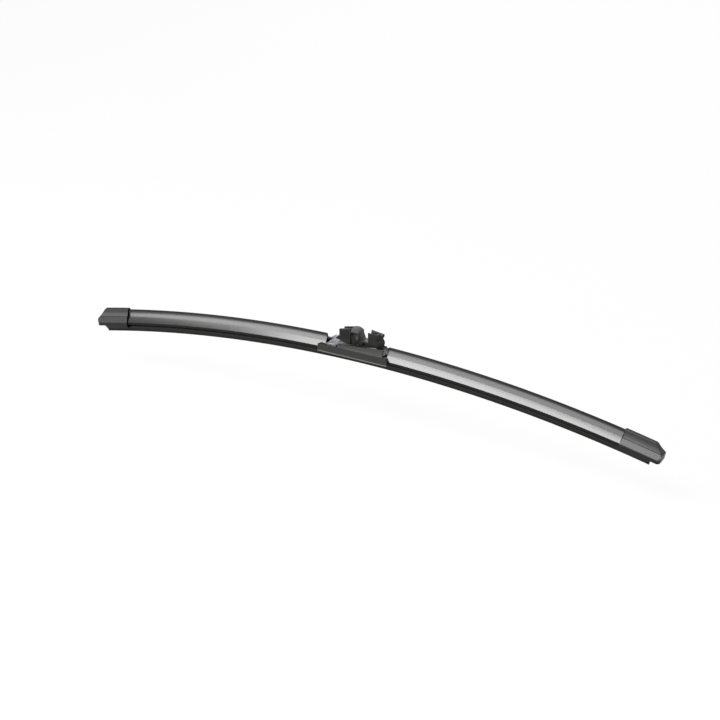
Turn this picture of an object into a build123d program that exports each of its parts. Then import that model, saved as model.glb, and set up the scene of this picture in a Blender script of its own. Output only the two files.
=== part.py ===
from build123d import *
import os
from math import cos, degrees, radians, sin, sqrt

# Flat wiper blade: a wiping rubber on two sprung steel rails, a hollow aerofoil in two halves over
# the rails, an end cap at each tip, and a connector in the middle where the arm adaptor rocks.
# Millimetres. +X runs along the blade, +Y to its rear and +Z away from the glass. The origin is the
# middle of the pivot pin. A height is measured from the wiping lip, square to the blade's arc.

# Blade line
blade_length = 453.0  # along the arc, over both end caps
arc_radius = 1036.0  # free curve of the wiping lip
pivot_height = 20.0

# Sprung rails
rail_width = 3.1
rail_thickness = 0.8
rail_spacing = 1.8  # gap between the two rails
rail_play = 0.1  # round a rail, in the rubber's groove
rail_end_setback = 9.0  # from the tip of the end cap

# Wiping rubber
lip_width = 0.7
lip_rise = 0.9
shoulder_width = 5.1
shoulder_height = 4.3
shoulder_thickness = 0.8
wedge_hollow = 0.35  # how far the wedge's flank curves in
neck_width = 1.1
neck_rise = 0.8
head_width = 5.8
head_thickness = 1.8
crown_width = 4.0
crown_thickness = 1.2
rubber_left_setback = 4.2  # from the tip of the end cap
rubber_right_setback = 7.3

# Aerofoil
claw_wall = 1.1
claw_thickness = 1.0
claw_reach = 0.75  # under the rail's outer edge
claw_play = 0.06
crease_half_width = 2.3
crease_rise = 3.3  # above the aerofoil's lower edge
crest_rise = 5.4  # above the crease
crest_thickness = 0.9
flank_hollow = 0.25
aerofoil_wall = 0.65
cavity_rise = 1.7
cavity_top_width = 0.6
aerofoil_left_start = 25.4  # from the middle of the blade
aerofoil_right_start = 23.6

# End caps
cap_length = 28.5
cap_wall = 1.0
cap_play = 0.12
cap_mouth_play = 0.75  # lead-in round the aerofoil
cap_mouth_depth = 2.4
cap_skirt_height = 4.2  # of the skirt's lower edge
cap_roof_run = 7.5
cap_nose_height = 11.6  # where the slanted roof meets the end
cap_roof_round = 4.0
cap_roof_tilt = 7.0  # degrees, lower to the front
cap_roof_clear = 0.1  # of the cut above the crest
cap_nose_round = 1.6
cap_nose_base = 6.2
cap_notch_run = 8.6
cap_notch_radius = 2.2
cap_corner_radius = 2.4
rubber_slot_play = 0.3

# Saddle
saddle_sheet = 1.0
saddle_width = 9.2
deck_height = 12.7  # of the deck's upper face
deck_length = 33.0
ramp_run = 4.6
left_foot_length = 3.6
right_foot_length = 1.8
fold_radius = 1.7
foot_play = 0.03
shelf_thickness = 0.7  # of the left end's shelf over the rubber's crown
wall_thickness = 0.8  # of the side walls at the saddle's ends
front_wall_height = 11.4
rear_wall_height = 15.2
wall_end_height = 12.8
left_wall_stop = -15.0  # beside the adaptor's grip
left_wall_slope = 3.2
right_wall_start = 12.0
right_wall_stop = 20.8
right_wall_slope = 1.2
ear_spacing = 2.4
ear_neck_width = 3.2
ear_radius = 2.2

# Pivot pin
pin_radius = 1.25
pin_play = 0.05
pin_end_round = 0.35

# Base cover
cover_left = -30.0
cover_right = 25.6
skirt_base = 5.2
skirt_top = 11.0
skirt_outer_width = 14.0
skirt_wall = 1.25
skirt_bead = 0.35
skirt_bead_height = 0.8
skirt_round = 1.0
wrap_length = 3.5  # where the cover's ends fold in over the aerofoil
wrap_inner_width = 8.4
wrap_depth = 2.6
wrap_play = 0.25
shoulder_left = -14.5
shoulder_right = 22.0
shoulder_left_height = 13.0
shoulder_right_height = 16.3
ridge_width = 12.4
ridge_height = 12.4
shoulder_top_land = 0.5
shoulder_rear_drop = 2.6
core_length = 27.0
core_play = 0.4  # above the rubber's crown
deck_play = 0.12
cover_claw_thickness = 1.0
cover_claw_play = 0.16

# Arm adaptor, with its heights from the middle of the pin
adaptor_swing = 8.0  # degrees to each side
ear_play = 0.2  # round the saddle's ears
spine_width = 6.6
spine_top = -1.4
spine_middle_clear = 0.7  # above the deck, below the pin
spine_left_rise = 1.8
spine_right_rise = 2.7
toe_left = -17.4
toe_width = 5.6
toe_rise = 0.6
toe_thickness = 0.6
toe_height = -0.4  # where the toe meets the grip
nose_left = -6.0
nose_left_height = 5.4
nose_corner = 0.45
nose_corner_height = 6.9
nose_foot = 3.6
nose_round = 4.0
hood_width = 8.2
hood_base = 3.2
hood_side_start = 4.0  # where the hood's sides start to lean in
hood_side_lean = 1.4
hood_side_rise = 3.0
hood_pocket_left = -4.5
hood_pocket_right = -2.7
hood_pocket_base = 1.5
hood_pocket_depth = 1.5
boss_radius = 2.4  # round the pin's ends
boss_proud = 0.45
grip_left = -13.8
grip_right = -4.8
grip_width = 8.4
grip_left_height = 4.2
grip_right_height = 6.2
grip_rear_drop = 1.0
grip_undercut_height = -2.0
grip_foot_length = 7.2
grip_slot_width = 5.4
grip_slot_floor = 1.7
rib_count = 4
rib_width = 0.7
rib_proud = 0.25
tail_left = 7.8
tail_right = 18.2
tail_foot_proud = 0.3
tail_end_wall = 1.2
tail_width = 7.4
tail_base_left = -3.4
tail_base_right = -3.1
tail_step_height = -1.2
tail_left_height = 6.0
tail_right_height = 5.6
tail_rear_left_height = 5.5
tail_rear_right_height = 4.1
tail_slot_width = 5.0
tail_slot_floor = 0.3
slot_flare = 0.7  # how far the slot's sides lean out at the top
slot_flare_base = 3.2
slot_flare_rise = 1.6
tail_notch_height = 0.8
tail_notch_depth = 0.9
tail_notch_rise = 2.0
tail_front_start = 1.1
tail_front_cut = 1.9
window_width = 2.6
window_height = 2.8
window_middle = -4.0
window_left = 0.4
window_left_depth = 0.5
window_right = 5.6
window_right_depth = 1.6

# Levels and half widths that follow from the sizes above
half_length = blade_length / 2
cap_mouth = half_length - cap_length
rail_end = half_length - rail_end_setback
rubber_left = half_length - rubber_left_setback
rubber_right = half_length - rubber_right_setback
arc_centre = -pivot_height - arc_radius
rail_inner = rail_spacing / 2
rail_outer = rail_inner + rail_width
neck_base = shoulder_height + shoulder_thickness
head_base = neck_base + neck_rise
rail_base = head_base + head_thickness + rail_play
rail_top = rail_base + rail_thickness
crown_base = rail_top + rail_play
crown_top = crown_base + crown_thickness
claw_top = rail_base - claw_play
claw_base = claw_top - claw_thickness
claw_inner = rail_outer - claw_reach
rail_slot_outer = rail_outer + rail_play
edge_half_width = rail_slot_outer + claw_wall
edge_height = rail_top
crease_height = edge_height + crease_rise
crest_half_width = crest_thickness / 2
crest_height = crease_height + crest_rise
crest_centre_height = crest_height - crest_half_width
cap_grow = cap_play + cap_wall
rubber_slot_half = head_width / 2 + rubber_slot_play
saddle_half_width = saddle_width / 2
ear_inner = ear_spacing / 2
ear_outer = ear_inner + saddle_sheet
ear_hollow_half = ear_outer + ear_play
spine_half_width = spine_width / 2
spine_base = deck_height + spine_middle_clear - pivot_height
skirt_outer = skirt_outer_width / 2
skirt_inner = skirt_outer - skirt_wall
core_base = crown_top + core_play
core_top = deck_height - saddle_sheet - deck_play
cover_recess_half = saddle_half_width + deck_play
reach_past = 2 * skirt_outer_width  # how far a cut runs past the piece

bend_axis = Axis((0, 0, arc_centre), (0, 1, 0))


def arc_drop(distance):
    """How far a level line on the arc has fallen at a distance from the middle."""
    return arc_radius - sqrt(arc_radius**2 - distance**2)


def arc_point(distance, height):
    """Point at a distance along the arc and a height above the lip."""
    turn = distance / arc_radius
    reach = arc_radius + height
    return Vector(reach * sin(turn), 0, arc_centre + reach * cos(turn))


def along_arc(distance):
    """Direction of the blade at a distance along the arc."""
    turn = distance / arc_radius
    return Vector(cos(turn), 0, -sin(turn))


def cross_plane(distance):
    """Plane across the blade: local x is +Y and local y is height above the lip."""
    return Plane(arc_point(distance, 0), x_dir=(0, 1, 0), z_dir=along_arc(distance))


def side_plane(distance):
    """Plane along the blade: local x runs to the tip and local y is height above the lip."""
    return Plane(arc_point(distance, 0), x_dir=along_arc(distance), z_dir=(0, -1, 0))


def plan_plane(distance):
    """Plane under the lip: local x runs to the tip and local y is +Y."""
    upward = arc_point(distance, 1) - arc_point(distance, 0)
    return Plane(arc_point(distance, 0), x_dir=along_arc(distance), z_dir=upward)


def square_plane(distance):
    """Upright plane across the connector, which is straight."""
    return Plane((distance, 0, -pivot_height), x_dir=(0, 1, 0), z_dir=(1, 0, 0))


def pin_plane(distance):
    """Upright plane across the adaptor, with heights from the pin."""
    return Plane((distance, 0, 0), x_dir=(0, 1, 0), z_dir=(1, 0, 0))


def arc_angle(length):
    """Angle of the blade's arc over a length, in degrees."""
    return degrees(length / arc_radius)


def outward(start, end):
    """Unit normal on the outer side of a flank line that runs downwards."""
    run = (end - start).normalized()
    return Vector(-run.Y, run.X)


def moved_corner(point, upper_normal, lower_normal, grow):
    """Corner of two flank lines that are both moved outwards by grow."""
    share = grow / (1 + upper_normal.dot(lower_normal))
    return point + (upper_normal + lower_normal) * share


def flank_corners(grow):
    """Crest side, flank middle, crease and lower edge of the aerofoil, moved outwards by grow."""
    crest_side = Vector(crest_half_width, crest_centre_height)
    crease = Vector(crease_half_width, crease_height)
    edge = Vector(edge_half_width, edge_height)
    flank_normal = outward(crest_side, crease)
    facet_normal = outward(crease, edge)
    grown_side = Vector(crest_half_width + grow, crest_centre_height)
    grown_crease = moved_corner(crease, flank_normal, facet_normal, grow)
    grown_edge = moved_corner(edge, facet_normal, Vector(1, 0), grow)
    flank_middle = (grown_side + grown_crease) * 0.5 - flank_normal * flank_hollow
    return grown_side, flank_middle, grown_crease, grown_edge


def aerofoil_face(plane, grow, base_height):
    """Outline of the aerofoil across the blade, moved outwards by grow and closed at base_height."""
    side, middle, crease, edge = flank_corners(grow)
    with BuildSketch(plane) as face:
        with BuildLine():
            CenterArc((0, crest_centre_height), crest_half_width + grow, 0, 90)
            ThreePointArc(side, middle, crease)
            Polyline(crease, edge, (edge.X, base_height), (0, base_height))
            mirror(about=Plane.YZ)
        make_face()
    return face.sketch


def box_face(plane, low, high):
    """Rectangle on a plane, from its low corner to its high corner."""
    with BuildSketch(plane) as face:
        with BuildLine():
            Polyline(low, (high[0], low[1]), high, (low[0], high[1]), close=True)
        make_face()
    return face.sketch


def bent(face, length, mode=Mode.ADD):
    """Carry a cross section along the blade's arc over a length."""
    revolve(face, axis=bend_axis, revolution_arc=arc_angle(length), mode=mode)


# Wiping rubber: lip, hollow wedge, shoulders, neck, head with a rail groove on each side, and crown
with BuildPart() as wiping_rubber:
    lip_corner = Vector(lip_width / 2, lip_rise)
    shoulder_corner = Vector(shoulder_width / 2, shoulder_height)
    wedge_normal = outward(shoulder_corner, lip_corner)
    wedge_middle = (lip_corner + shoulder_corner) * 0.5 - wedge_normal * wedge_hollow
    web_half = rail_inner - rail_play
    with BuildSketch(cross_plane(-rubber_left)) as rubber_section:
        with BuildLine():
            Polyline((0, 0), (lip_width / 2, 0), lip_corner)
            ThreePointArc(lip_corner, wedge_middle, shoulder_corner)
            Polyline(
                shoulder_corner,
                (shoulder_width / 2, neck_base),
                (neck_width / 2, neck_base),
                (neck_width / 2, head_base),
                (head_width / 2, head_base),
                (head_width / 2, rail_base - rail_play),
                (web_half, rail_base - rail_play),
                (web_half, crown_base),
                (crown_width / 2, crown_base),
                (crown_width / 2, crown_top),
                (0, crown_top),
            )
            mirror(about=Plane.YZ)
        make_face()
    bent(rubber_section.sketch, rubber_left + rubber_right)

# Sprung rails in the rubber's side grooves
with BuildPart() as rear_rail:
    rail_face = box_face(cross_plane(-rail_end), (rail_inner, rail_base), (rail_outer, rail_top))
    bent(rail_face, 2 * rail_end)

with BuildPart() as front_rail:
    mirror(rear_rail.part, about=Plane.XZ)

# Aerofoil halves: hollow below the crest, with a claw under each rail's outer edge
def aerofoil_half(start):
    """Right half of the aerofoil, from a start beside the connector to the rail's end."""
    length = rail_end - start
    start_plane = cross_plane(start)
    _, _, inner_crease, inner_edge = flank_corners(-aerofoil_wall)
    facet_fall = (inner_crease.Y - inner_edge.Y) / (inner_edge.X - inner_crease.X)
    slot_roof = inner_crease.Y - facet_fall * (rail_slot_outer - inner_crease.X)
    with BuildSketch(start_plane) as hollow:
        with BuildLine():
            Polyline(
                (0, claw_base - claw_thickness),
                (claw_inner, claw_base - claw_thickness),
                (claw_inner, claw_top),
                (rail_slot_outer, claw_top),
                (rail_slot_outer, slot_roof),
                inner_crease,
                (cavity_top_width / 2, crease_height + cavity_rise),
                (0, crease_height + cavity_rise),
            )
            mirror(about=Plane.YZ)
        make_face()
    with BuildPart() as half:
        bent(aerofoil_face(start_plane, 0, claw_base), length)
        bent(hollow.sketch, length, Mode.SUBTRACT)
    return half.part


with BuildPart() as right_aerofoil:
    add(aerofoil_half(aerofoil_right_start))

with BuildPart() as left_aerofoil:
    mirror(aerofoil_half(aerofoil_left_start), about=Plane.YZ)

# End caps: a shell round the aerofoil's end, with a slanted roof over a rounded nose
with BuildPart() as right_end_cap:
    mouth_plane = cross_plane(cap_mouth)
    tip_side = side_plane(half_length)
    roof_height = crest_height + cap_grow + cap_roof_clear
    cap_half_width = edge_half_width + cap_grow
    bent(aerofoil_face(mouth_plane, cap_grow, cap_skirt_height), cap_length + cap_nose_round)
    pocket_base = claw_base - cap_play
    bent(aerofoil_face(mouth_plane, cap_play, pocket_base), rail_end - cap_mouth + cap_play, Mode.SUBTRACT)
    bent(aerofoil_face(mouth_plane, cap_mouth_play, pocket_base), cap_mouth_depth, Mode.SUBTRACT)
    slot_low = (-rubber_slot_half, 0)
    slot_high = (rubber_slot_half, crown_top + rubber_slot_play)
    slot_length = max(rubber_left, rubber_right) - cap_mouth + rubber_slot_play
    bent(box_face(mouth_plane, slot_low, slot_high), slot_length, Mode.SUBTRACT)
    with BuildSketch(tip_side.rotated((cap_roof_tilt, 0, 0))) as roof_cut:
        with BuildLine():
            Polyline(
                (-cap_length, roof_height),
                (-cap_roof_run, roof_height),
                (0, cap_nose_height),
                (0, -reach_past),
                (reach_past, -reach_past),
                (reach_past, roof_height + reach_past),
                (-cap_length, roof_height + reach_past),
                close=True,
            )
        make_face()
        roof_start = roof_cut.vertices().sort_by_distance((-cap_roof_run, roof_height))[0]
        fillet(roof_start, cap_roof_round)
        nose_top = roof_cut.vertices().sort_by_distance((0, cap_nose_height))[0]
        fillet(nose_top, cap_nose_round)
    extrude(amount=reach_past, both=True, mode=Mode.SUBTRACT)
    with BuildSketch(tip_side):
        with BuildLine():
            notch_turn = -cap_notch_run + cap_notch_radius
            Line((-cap_notch_run, 0), (-cap_notch_run, cap_nose_base - cap_notch_radius))
            RadiusArc(
                (-cap_notch_run, cap_nose_base - cap_notch_radius),
                (notch_turn, cap_nose_base),
                cap_notch_radius,
            )
            Polyline(
                (notch_turn, cap_nose_base),
                (reach_past, cap_nose_base),
                (reach_past, 0),
                (-cap_notch_run, 0),
            )
        make_face()
    extrude(amount=reach_past, both=True, mode=Mode.SUBTRACT)
    with BuildSketch(plan_plane(half_length)):
        with BuildLine():
            corner_turn = cap_half_width - cap_corner_radius
            CenterArc((-cap_corner_radius, corner_turn), cap_corner_radius, 0, 90)
            Polyline(
                (-cap_corner_radius, cap_half_width),
                (-cap_corner_radius, cap_half_width + cap_wall),
                (cap_wall, cap_half_width + cap_wall),
                (cap_wall, corner_turn),
                (0, corner_turn),
            )
        make_face()
        mirror(about=Plane.XZ)
    extrude(amount=reach_past, mode=Mode.SUBTRACT)

with BuildPart() as left_end_cap:
    mirror(right_end_cap.part, about=Plane.YZ)

# Saddle: a folded strip that stands on the rails on both sides of the rubber, with walls and pin ears
with BuildPart() as saddle:
    deck_end = deck_length / 2
    foot_start = deck_end + ramp_run
    left_foot_end = -foot_start - left_foot_length
    right_foot_end = foot_start + right_foot_length
    foot_base = rail_top - arc_drop(foot_start) + foot_play
    foot_line = foot_base + saddle_sheet / 2
    deck_line = deck_height - saddle_sheet / 2
    with BuildSketch(side_plane(0)):
        with BuildLine():
            FilletPolyline(
                (left_foot_end, foot_line),
                (-foot_start, foot_line),
                (-deck_end, deck_line),
                (deck_end, deck_line),
                (foot_start, foot_line),
                (right_foot_end, foot_line),
                radius=fold_radius,
            )
        trace(line_width=saddle_sheet)
    extrude(amount=saddle_half_width, both=True)
    crown_passage = box_face(
        square_plane(left_foot_end),
        (-crown_width / 2 - rubber_slot_play, 0),
        (crown_width / 2 + rubber_slot_play, crown_top + rubber_slot_play),
    )
    extrude(crown_passage, amount=right_foot_end - left_foot_end, mode=Mode.SUBTRACT)
    shelf_base = crown_top + rubber_slot_play
    shelf = box_face(
        square_plane(left_foot_end),
        (-saddle_half_width, shelf_base),
        (saddle_half_width, shelf_base + shelf_thickness),
    )
    extrude(shelf, amount=-deck_end - left_foot_end)
    ramp_share = (right_wall_stop - deck_end) / ramp_run
    right_wall_foot = deck_line + (foot_line - deck_line) * ramp_share
    with BuildSketch(side_plane(0).offset(wall_thickness - saddle_half_width)):
        with BuildLine():
            Polyline(
                (left_foot_end, foot_line),
                (-foot_start, foot_line),
                (-deck_end, deck_line),
                (left_wall_stop, deck_line),
                (left_wall_stop, rear_wall_height),
                (left_foot_end + left_wall_slope, rear_wall_height),
                (left_foot_end, wall_end_height),
                close=True,
            )
        make_face()
        with BuildLine():
            Polyline(
                (right_wall_start, deck_line),
                (deck_end, deck_line),
                (right_wall_stop, right_wall_foot),
                (right_wall_stop, wall_end_height),
                (right_wall_stop - right_wall_slope, rear_wall_height),
                (right_wall_start, rear_wall_height),
                close=True,
            )
        make_face()
    extrude(amount=-wall_thickness)
    front_wall_share = (front_wall_height - foot_line) / (deck_line - foot_line)
    with BuildSketch(side_plane(0).offset(saddle_half_width)):
        with BuildLine():
            Polyline(
                (left_foot_end, foot_line),
                (-foot_start, foot_line),
                (front_wall_share * ramp_run - foot_start, front_wall_height),
                (left_foot_end, front_wall_height),
                close=True,
            )
        make_face()
    extrude(amount=-wall_thickness)
    for ear_front in (ear_outer, -ear_inner):
        with BuildSketch(side_plane(0).offset(ear_front)):
            with BuildLine():
                neck_half = ear_neck_width / 2
                Polyline(
                    (-neck_half, deck_line),
                    (neck_half, deck_line),
                    (neck_half, pivot_height),
                    (-neck_half, pivot_height),
                    close=True,
                )
            make_face()
            with Locations((0, pivot_height)):
                Circle(ear_radius)
                Circle(pin_radius + pin_play, mode=Mode.SUBTRACT)
        extrude(amount=-saddle_sheet)

# Pivot pin: a plain pin with rounded ends, in the saddle's ears and the adaptor's bosses
with BuildPart() as pivot_pin:
    with BuildSketch(Plane.XZ):
        Circle(pin_radius)
    extrude(amount=spine_half_width + boss_proud, both=True)
    fillet(pivot_pin.edges().filter_by(GeomType.CIRCLE), pin_end_round)

# Base cover: skirts with a bead, ends folded in over the aerofoil, shoulders, a core and rail claws
with BuildPart() as base_cover:
    with BuildSketch(side_plane(0).offset(skirt_inner)) as skirt_outline:
        with BuildLine():
            Polyline(
                (cover_left, skirt_base),
                (cover_left, skirt_top),
                (cover_right, skirt_top),
                (cover_right, skirt_base),
                close=True,
            )
        make_face()
        fillet(skirt_outline.vertices().group_by(Axis.Y)[-1], skirt_round)
    extrude(amount=skirt_wall)
    with BuildSketch(square_plane(cover_left)):
        with BuildLine():
            Polyline(
                (-skirt_inner, skirt_base),
                (-skirt_outer - skirt_bead, skirt_base),
                (-skirt_outer - skirt_bead, skirt_base + skirt_bead_height - skirt_bead),
                (-skirt_outer, skirt_base + skirt_bead_height),
                (-skirt_inner, skirt_base + skirt_bead_height),
                close=True,
            )
        make_face()
    extrude(amount=cover_right - cover_left)
    claw = box_face(
        square_plane(-core_length / 2),
        (-skirt_inner - skirt_wall / 2, rail_base - cover_claw_play - cover_claw_thickness),
        (-rubber_slot_half, rail_base - cover_claw_play),
    )
    extrude(claw, amount=core_length)
    for wrap_start in (cover_left + skirt_round, cover_right - skirt_round - wrap_length):
        wrap = box_face(
            square_plane(wrap_start),
            (-skirt_inner - skirt_wall / 2, skirt_top - wrap_depth),
            (-wrap_inner_width / 2, skirt_top),
        )
        extrude(wrap, amount=wrap_length)
        band = aerofoil_face(cross_plane(wrap_start - skirt_round), wrap_play, skirt_base)
        bent(band, wrap_length + 2 * skirt_round, Mode.SUBTRACT)
    mirror(about=Plane.XZ)
    with BuildSketch(square_plane(shoulder_left)):
        with BuildLine():
            Polyline(
                (0, core_base),
                (skirt_outer - skirt_wall / 2, core_base),
                (skirt_outer, skirt_top),
                (ridge_width / 2, ridge_height),
                (cover_recess_half + shoulder_top_land, shoulder_right_height),
                (cover_recess_half, shoulder_right_height),
                (cover_recess_half, core_top),
                (0, core_top),
            )
            mirror(about=Plane.YZ)
        make_face()
    extrude(amount=shoulder_right - shoulder_left)
    for open_start, open_end in ((shoulder_left, -core_length / 2), (core_length / 2, shoulder_right)):
        opening = box_face(
            square_plane(open_start),
            (-cover_recess_half, 0),
            (cover_recess_half, shoulder_right_height + reach_past),
        )
        extrude(opening, amount=open_end - open_start, mode=Mode.SUBTRACT)
    with BuildSketch(side_plane(0)):
        with BuildLine():
            Polyline(
                (shoulder_left, shoulder_left_height),
                (shoulder_right, shoulder_right_height),
                (shoulder_right, shoulder_right_height + reach_past),
                (shoulder_left, shoulder_right_height + reach_past),
                close=True,
            )
        make_face()
    extrude(amount=reach_past, both=True, mode=Mode.SUBTRACT)
    with BuildSketch(side_plane(0)):
        with BuildLine():
            Polyline(
                (shoulder_left, shoulder_left_height - shoulder_rear_drop),
                (shoulder_right, shoulder_right_height - shoulder_rear_drop),
                (shoulder_right, shoulder_right_height),
                (shoulder_left, shoulder_right_height),
                close=True,
            )
        make_face()
    extrude(amount=-reach_past, mode=Mode.SUBTRACT)


# Arm adaptor: a spine over the ears, a round nose on the pin, a ribbed grip and a slotted tail
def nose_face(base_height):
    """Outline of the nose from the side, closed at base_height."""
    nose_lean = (nose_foot - nose_corner) / (nose_corner_height - spine_top)
    base_right = nose_corner + nose_lean * (nose_corner_height - base_height)
    with BuildSketch(Plane.XZ) as face:
        with BuildLine():
            Polyline(
                (nose_left, base_height),
                (nose_left, nose_left_height),
                (nose_corner, nose_corner_height),
                (base_right, base_height),
                close=True,
            )
        make_face()
        fillet(face.vertices().sort_by(Axis.Y)[-1], nose_round)
    return face.sketch


with BuildPart() as arm_adaptor:
    left_base = spine_base + spine_left_rise
    tail_past = tail_right + tail_front_cut
    with BuildSketch(Plane.XZ):
        with BuildLine():
            Polyline(
                (grip_left, left_base),
                (0, spine_base),
                (tail_past, spine_base + spine_right_rise),
                (tail_past, spine_top),
                (grip_left, spine_top),
                close=True,
            )
        make_face()
    extrude(amount=spine_half_width, both=True)
    with BuildSketch(Plane.XZ):
        with BuildLine():
            Polyline(
                (nose_left, left_base),
                (grip_left, left_base),
                (toe_left, left_base + toe_rise),
                (toe_left, left_base + toe_rise + toe_thickness),
                (grip_left, toe_height),
                (nose_left, toe_height),
                close=True,
            )
        make_face()
    extrude(amount=toe_width / 2, both=True)
    extrude(nose_face(spine_top), amount=spine_half_width, both=True)
    extrude(nose_face(hood_base), amount=hood_width / 2, both=True)
    with BuildSketch(pin_plane(grip_right)):
        with BuildLine():
            Polyline(
                (hood_width / 2, hood_side_start),
                (hood_width / 2 - hood_side_lean, hood_side_start + hood_side_rise),
                (hood_width / 2 + hood_side_lean, hood_side_start + hood_side_rise),
                close=True,
            )
        make_face()
        mirror(about=Plane.YZ)
    extrude(amount=tail_left - grip_right, mode=Mode.SUBTRACT)
    for side, depth in ((spine_half_width, -hood_pocket_depth), (-spine_half_width, hood_pocket_depth)):
        pocket = box_face(
            Plane.XZ.offset(side),
            (hood_pocket_left, hood_pocket_base),
            (hood_pocket_right, hood_base),
        )
        extrude(pocket, amount=depth, mode=Mode.SUBTRACT)
    with BuildSketch(Plane.XZ):
        with BuildLine():
            foot_rise = spine_left_rise / -grip_left
            foot_left = grip_right - grip_foot_length
            Polyline(
                (grip_left, grip_undercut_height),
                (foot_left, spine_base - foot_rise * foot_left),
                (grip_right, spine_base - foot_rise * grip_right),
                (grip_right, grip_right_height),
                (grip_left, grip_left_height),
                close=True,
            )
        make_face()
    extrude(amount=grip_width / 2, both=True)
    rib_pitch = (grip_right - grip_left) / (rib_count + 1)
    for rib in range(rib_count):
        rib_middle = grip_left + rib_pitch * (rib + 1)
        rib_face = box_face(
            Plane.XZ,
            (rib_middle - rib_width / 2, spine_top),
            (rib_middle + rib_width / 2, grip_left_height - grip_rear_drop),
        )
        extrude(rib_face, amount=grip_width / 2 + rib_proud, both=True)
    grip_slot = box_face(
        pin_plane(grip_left),
        (-grip_slot_width / 2, grip_slot_floor),
        (grip_slot_width / 2, grip_right_height),
    )
    extrude(grip_slot, amount=nose_left - grip_left, mode=Mode.SUBTRACT)
    with BuildSketch(Plane.XZ.offset(grip_slot_width / 2)):
        with BuildLine():
            Polyline(
                (grip_left, grip_left_height - grip_rear_drop),
                (grip_right, grip_right_height - grip_rear_drop),
                (grip_right, grip_right_height),
                (grip_left, grip_right_height),
                close=True,
            )
        make_face()
    extrude(amount=-grip_width, mode=Mode.SUBTRACT)
    with BuildSketch(Plane.XZ):
        with BuildLine():
            Polyline(
                (tail_left, tail_base_left),
                (tail_past, tail_base_right),
                (tail_past, tail_right_height),
                (tail_left, tail_left_height),
                close=True,
            )
        make_face()
    extrude(amount=tail_width / 2, both=True)
    with BuildSketch(Plane.XZ):
        with BuildLine():
            Polyline(
                (tail_left, tail_rear_left_height),
                (tail_past, tail_rear_right_height),
                (tail_past, tail_left_height),
                (tail_left, tail_left_height),
                close=True,
            )
        make_face()
    extrude(amount=-tail_width, mode=Mode.SUBTRACT)
    with BuildSketch(Plane.XY.offset(spine_top)):
        with BuildLine():
            Polyline(
                (tail_left, tail_width / 2),
                (tail_left, -tail_width / 2),
                (tail_left + tail_front_start, -tail_width / 2),
                close=True,
            )
        make_face()
    extrude(amount=reach_past, mode=Mode.SUBTRACT)
    tail_middle = tail_right - tail_front_cut / 2
    slot_lean = tail_front_cut * tail_slot_width / tail_width / 2
    slot_end = tail_middle - tail_end_wall
    with BuildSketch(Plane.XY.offset(tail_slot_floor)):
        with BuildLine():
            Polyline(
                (tail_left, -tail_slot_width / 2),
                (slot_end - slot_lean, -tail_slot_width / 2),
                (slot_end + slot_lean, tail_slot_width / 2),
                (tail_left, tail_slot_width / 2),
                close=True,
            )
        make_face()
    extrude(amount=reach_past, mode=Mode.SUBTRACT)
    with BuildSketch(pin_plane(tail_left)):
        with BuildLine():
            Polyline(
                (tail_slot_width / 2, slot_flare_base),
                (tail_slot_width / 2 + slot_flare, slot_flare_base + slot_flare_rise),
                (tail_slot_width / 2 + slot_flare, reach_past),
                (tail_slot_width / 2, reach_past),
                close=True,
            )
        make_face()
        mirror(about=Plane.YZ)
    extrude(amount=slot_end - slot_lean - tail_left, mode=Mode.SUBTRACT)
    tail_end = Plane(
        (tail_middle, 0, 0),
        x_dir=(tail_width, -tail_front_cut, 0),
        z_dir=(-tail_front_cut, -tail_width, 0),
    )
    with BuildSketch(tail_end):
        with BuildLine():
            Polyline(
                (0, reach_past),
                (0, tail_notch_height + tail_notch_rise),
                (-tail_notch_depth, tail_notch_height),
                (tail_foot_proud, tail_step_height),
                (tail_foot_proud, -reach_past),
                (reach_past, -reach_past),
                (reach_past, reach_past),
                close=True,
            )
        make_face()
    extrude(amount=reach_past, both=True, mode=Mode.SUBTRACT)
    for window_x, window_depth in ((window_left, window_left_depth), (window_right, window_right_depth)):
        with BuildSketch(Plane.XZ.offset(spine_half_width)):
            with Locations((window_x, window_middle)):
                SlotOverall(window_height, window_width, rotation=90)
        extrude(amount=-window_depth, mode=Mode.SUBTRACT)
        with BuildSketch(Plane.XZ.offset(-spine_half_width)):
            with Locations((window_x, window_middle)):
                SlotOverall(window_height, window_width, rotation=90)
        extrude(amount=window_depth, mode=Mode.SUBTRACT)
    with BuildSketch(Plane.XZ):
        Circle(boss_radius)
    extrude(amount=spine_half_width + boss_proud, both=True)
    with BuildSketch(Plane.XZ):
        ear_hollow_top = ear_radius + ear_play
        ear_hollow_foot = ear_neck_width / 2 + ear_play - spine_base * sin(radians(adaptor_swing))
        Circle(ear_hollow_top)
        with BuildLine():
            Polyline(
                (-ear_hollow_top, 0),
                (ear_hollow_top, 0),
                (ear_hollow_foot, spine_base),
                (-ear_hollow_foot, spine_base),
                close=True,
            )
        make_face()
    extrude(amount=ear_hollow_half, both=True, mode=Mode.SUBTRACT)
    with BuildSketch(Plane.XZ):
        Circle(pin_radius + pin_play)
    extrude(amount=reach_past, both=True, mode=Mode.SUBTRACT)

os.makedirs("parts", exist_ok=True)
pieces = {
    "wiping_rubber": wiping_rubber,
    "front_rail": front_rail,
    "rear_rail": rear_rail,
    "left_aerofoil": left_aerofoil,
    "right_aerofoil": right_aerofoil,
    "left_end_cap": left_end_cap,
    "right_end_cap": right_end_cap,
    "saddle": saddle,
    "pivot_pin": pivot_pin,
    "base_cover": base_cover,
    "arm_adaptor": arm_adaptor,
}
for name, piece in pieces.items():
    piece.part.label = name
    export_step(piece.part, f"parts/{name}.step")
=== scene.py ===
"""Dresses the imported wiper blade: its long extrusions, its moulded pieces, their finishes and a studio."""

import math

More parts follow.
